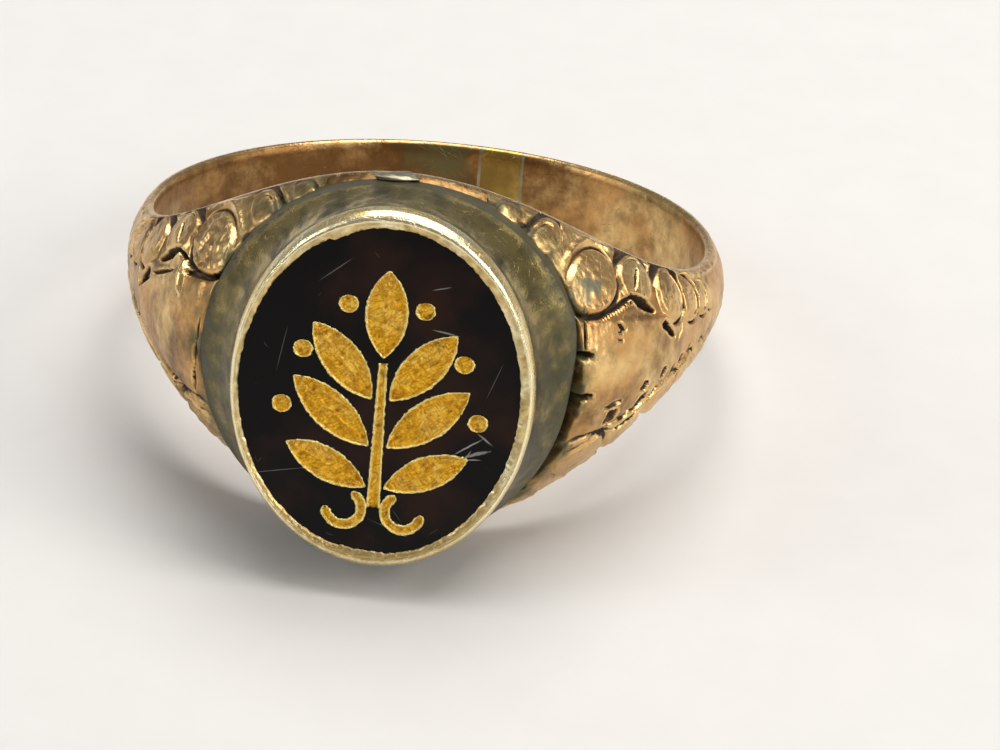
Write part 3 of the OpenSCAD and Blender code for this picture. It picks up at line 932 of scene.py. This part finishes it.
def makeBlob():
    bm = bmesh.new()
    bmesh.ops.create_uvsphere(bm, u_segments=48, v_segments=24, radius=1)
    stainLayers(bm)
    for vert in bm.verts:
        swell = 1 + 0.25 * lumps(vert.co, 0.8, 2) + 0.1 * lumps(vert.co, 0.3, 4)
        vert.co = vert.co * Vector(blob["half"]) * swell + Vector(blob["spot"])
    finishPiece(bm, "solder_blob_drop", "solder_blob", solderGrey)


makeBlob()
print("setting done")

for nodeName, material in (("stone", onyx), ("stone_seat", tarnishedGold), ("stone_bed", cement)):
    mesh = frame["nodes"][nodeName].data
    mesh.materials.clear()
    mesh.materials.append(material)

gilding = {
    "overlap": 0.035,  # how far the gold laps over the cut's edge
    "floor": 0.045,
    "burr": 0.06,
    "burrWidth": 0.06,
    "vein": 0.05,
    "veinWidth": 0.05,
    "under": 0.12,  # depth of its closed underside below the stone's face
}


def painted(bm, name):
    return bm.verts.layers.float.get(name) or bm.verts.layers.float.new(name)


def giltCut(bm, path, width, seed, vein=True, steps=110, across=40):
    # path(u) gives a point (x, z) and width(u) the half width there, in the plane of the face
    grime, shine = painted(bm, "grime"), painted(bm, "shine")
    for vert in bmesh.ops.create_grid(bm, x_segments=steps, y_segments=across, size=1)["verts"]:
        u, v = (vert.co.x + 1) / 2, vert.co.y
        x, z = path(u)
        x2, z2 = path(min(1.0, u + 0.01))
        x1, z1 = path(max(0.0, u - 0.01))
        along = Vector((x2 - x1, 0, z2 - z1)).normalized()
        side = Vector((along.z, 0, -along.x))
        jag = 0.035 * lumps(Vector((x * 3, v * 2, z * 3)), 0.35, seed)
        jag += 0.022 * lumps(Vector((x, v, z)), 0.06, seed)
        full = width(u) + gilding["overlap"] + jag * abs(v)
        p = Vector((x, ring["faceY"], z)) + side * full * v
        gap = full * (1 - abs(v))
        inside = smooth(0.0, gilding["burrWidth"] * 2, gap)
        chatter = 0.050 * lumps(p, 0.22, seed + 1) + 0.040 * lumps(p, 0.09, seed + 2)
        strokes = Vector((p.x * 0.8 + p.z * 0.6, 0, (p.z * 0.8 - p.x * 0.6) * 6))
        rough = (1 - abs(lumps(strokes, 0.9, seed + 5)) * 2.4) * 0.030
        height = gilding["burr"] * (1 - inside) * smooth(0.0, 0.03, gap + 0.01)
        height += inside * (-gilding["floor"] + chatter + rough)
        if vein:
            height += gilding["vein"] * math.exp(-(v * full / gilding["veinWidth"]) ** 2) * inside
        vert.co = p + Vector((0, -1, 0)) * height
        vert[grime] = max(0.0, min(0.65, inside * (0.20 - chatter * 8 - rough * 3)))
        # the raised edges are paler: burnish with a painted highlight
        vert[shine] = smooth(0.95, 0.55, inside)


def closeUnder(bm):
    # walls go down from the edge into the stone, and the bottom is closed
    bmesh.ops.remove_doubles(bm, verts=bm.verts, dist=0.004)
    edges = [e for e in bm.edges if e.is_boundary]
    grown = bmesh.ops.extrude_edge_only(bm, edges=edges)["geom"]
    for item in grown:
        if isinstance(item, bmesh.types.BMVert):
            item.co.y = ring["faceY"] + gilding["under"]
    bmesh.ops.holes_fill(bm, edges=[e for e in bm.edges if e.is_boundary], sides=0)


def straight(x, z, lean, long):
    a = math.radians(lean)
    return lambda u: (x + math.sin(a) * long * u, z + math.cos(a) * long * u)


def lens(long, wide):
    r = (long * long / 4 + wide * wide / 4) / wide
    return lambda u: max(0.0, math.sqrt(max(0.0, r * r - (long * (u - 0.5)) ** 2)) - (r - wide / 2))


def arcPath(x, z, r, first, last):
    return lambda u: (x + r * math.cos(math.radians(first + (last - first) * u)),
                      z + r * math.sin(math.radians(first + (last - first) * u)))


sprig = {
    "stem": {"from": -4.2, "long": 5.25, "foot": 0.2, "taper": 0.08},
    "leaves": {  # foot x, z, lean, length, width
        "tip": (0, 1.25, 0, 3.1, 1.4),
        "upper": (0.32, -0.25, 40, 3.3, 1.3),
        "middle": (0.32, -1.95, 50, 3.5, 1.3),
        "lower": (0.32, -3.45, 64, 3.1, 1.15),
    },
    "curl": {"x": 1.02, "z": -4.3, "r": 0.62, "half": 0.15, "left": (66, -180), "right": (114, 360)},
    "berries": ((1.3, 3.05), (2.75, 1.3), (3.35, -0.75)),
    "berryR": 0.31,
}


def finishGilt(bm, node):
    closeUnder(bm)
    finishPiece(bm, node + "_gilt", node, leafGold)


def curlWidth(u):
    # rounded at both ends
    return sprig["curl"]["half"] * min(1.0, (min(u, 1 - u) * 14) ** 0.5 + 0.02)


def berryWidth(u):
    r = sprig["berryR"]
    return math.sqrt(max(0.0, r ** 2 - (2 * r * (u - 0.5)) ** 2))


def makeSprig():
    stem, curl, r = sprig["stem"], sprig["curl"], sprig["berryR"]
    bm = bmesh.new()
    giltCut(bm, straight(0, stem["from"], 0, stem["long"]), lambda u: stem["foot"] - stem["taper"] * u, 1,
            vein=False, steps=90, across=10)
    finishGilt(bm, "sprig_stem")
    for index, (name, (x, z, lean, long, wide)) in enumerate(sprig["leaves"].items()):
        for side, word in ((-1, "left"), (1, "right")):
            if name == "tip" and side < 0:
                continue
            bm = bmesh.new()
            giltCut(bm, straight(x * side, z, lean * side, long), lens(long, wide), index * 3 + side)
            finishGilt(bm, "sprig_tip_leaf" if name == "tip" else f"sprig_{name}_leaf_{word}")
    for side, word in ((-1, "left"), (1, "right")):
        bm = bmesh.new()
        giltCut(bm, arcPath(side * curl["x"], curl["z"], curl["r"], *curl[word]), curlWidth, 30 + side,
                vein=False, steps=90, across=10)
        finishGilt(bm, f"sprig_curl_{word}")
    bm = bmesh.new()
    for side in (-1, 1):
        for x, z in sprig["berries"]:
            giltCut(bm, straight(side * x, z - r, 0, 2 * r), berryWidth, x + side,
                    vein=False, steps=24, across=16)
    finishGilt(bm, "sprig_berries")


makeSprig()
print("sprig done")

stage = {
    "floor": (0.70, 0.69, 0.675),
    "world": 0.25,
    "azimuth": 5.5,  # degrees to the right of the way the stone faces
    "elevation": 32.5,
    "roll": 3.0,
    "distance": 0.151,
    "aimRight": 2.69,  # how far right of the origin and below it the camera looks, in millimetres
    "aimDown": 4.23,
    "viewAngle": 14,
    "lights": {  # place, size, power and colour, in metres and watts
        "keyAbove": ((0.03, 0.07, 0.28), (0.28, 0.20), 0.86, (1.0, 0.97, 0.93)),
        "fillLeft": ((-0.28, -0.08, 0.17), (0.12, 0.18), 0.24, (0.96, 0.98, 1.0)),
        "sideRight": ((0.30, -0.06, 0.17), (0.20, 0.24), 0.62, (1.0, 0.95, 0.88)),
        "lowFront": ((0.05, -0.32, 0.07), (0.30, 0.08), 0.08, (1.0, 0.97, 0.93)),
    },
    "lightAim": (0, -0.005, 0),
}

bpy.ops.mesh.primitive_plane_add(size=2, location=(0, 0, cadLow.z - 0.00002))
floor = bpy.context.object
floor.name = "floor"
floorMaterial, tree, shader = newMaterial("palePaper")
where = addNode(tree, "ShaderNodeTexCoord").outputs["Object"]
mottle = addNode(tree, "ShaderNodeTexNoise", Vector=where, Scale=450.0, Detail=4.0).outputs[0]
tone = mixColour(tree, mottle, (*[c * 0.94 for c in stage["floor"]], 1), (*stage["floor"], 1))
tree.links.new(tone, shader.inputs["Base Color"])
shader.inputs["Roughness"].default_value = 0.8
floor.data.materials.append(floorMaterial)

world = bpy.data.worlds.new("studio")
world.use_nodes = True
world.node_tree.nodes["Background"].inputs["Color"].default_value = (0.95, 0.97, 1.0, 1)
world.node_tree.nodes["Background"].inputs["Strength"].default_value = stage["world"]
bpy.context.scene.world = world


def softLight(name, spot, size, power, colour):
    data = bpy.data.lights.new(name, "AREA")
    data.shape = "RECTANGLE"
    data.size, data.size_y = size
    data.energy = power
    data.color = colour
    lamp = bpy.data.objects.new(name, data)
    lamp.location = spot
    lamp.rotation_euler = (Vector(stage["lightAim"]) - Vector(spot)).to_track_quat("-Z", "Y").to_euler()
    bpy.context.scene.collection.objects.link(lamp)


for lightName, settings in stage["lights"].items():
    softLight(lightName, *settings)

azimuth, elevation, roll = (math.radians(stage[k]) for k in ("azimuth", "elevation", "roll"))
level = math.cos(elevation)
back = Vector((math.sin(azimuth) * level, -math.cos(azimuth) * level, math.sin(elevation)))
flat = Vector((math.cos(azimuth), math.sin(azimuth), 0))
up = back.cross(flat)
right = flat * math.cos(roll) + up * math.sin(roll)
up = up * math.cos(roll) - flat * math.sin(roll)
aimAt = (right * stage["aimRight"] - up * stage["aimDown"]) * 0.001
stand = back * stage["distance"]
look = (aimAt - stand).normalized()
sideways = look.cross(up).normalized()
upright = sideways.cross(look)
cameraData = bpy.data.cameras.new("camera")
cameraData.sensor_width = 36
cameraData.lens = 18 / math.tan(math.radians(stage["viewAngle"] / 2))
cameraData.clip_start = 0.01
camera = bpy.data.objects.new("camera", cameraData)
camera.matrix_world = Matrix.Translation(stand) @ Matrix((sideways, upright, -look)).transposed().to_4x4()
bpy.context.scene.collection.objects.link(camera)
bpy.context.scene.camera = camera
bpy.context.scene.view_settings.view_transform = "Standard"

print("stage done")
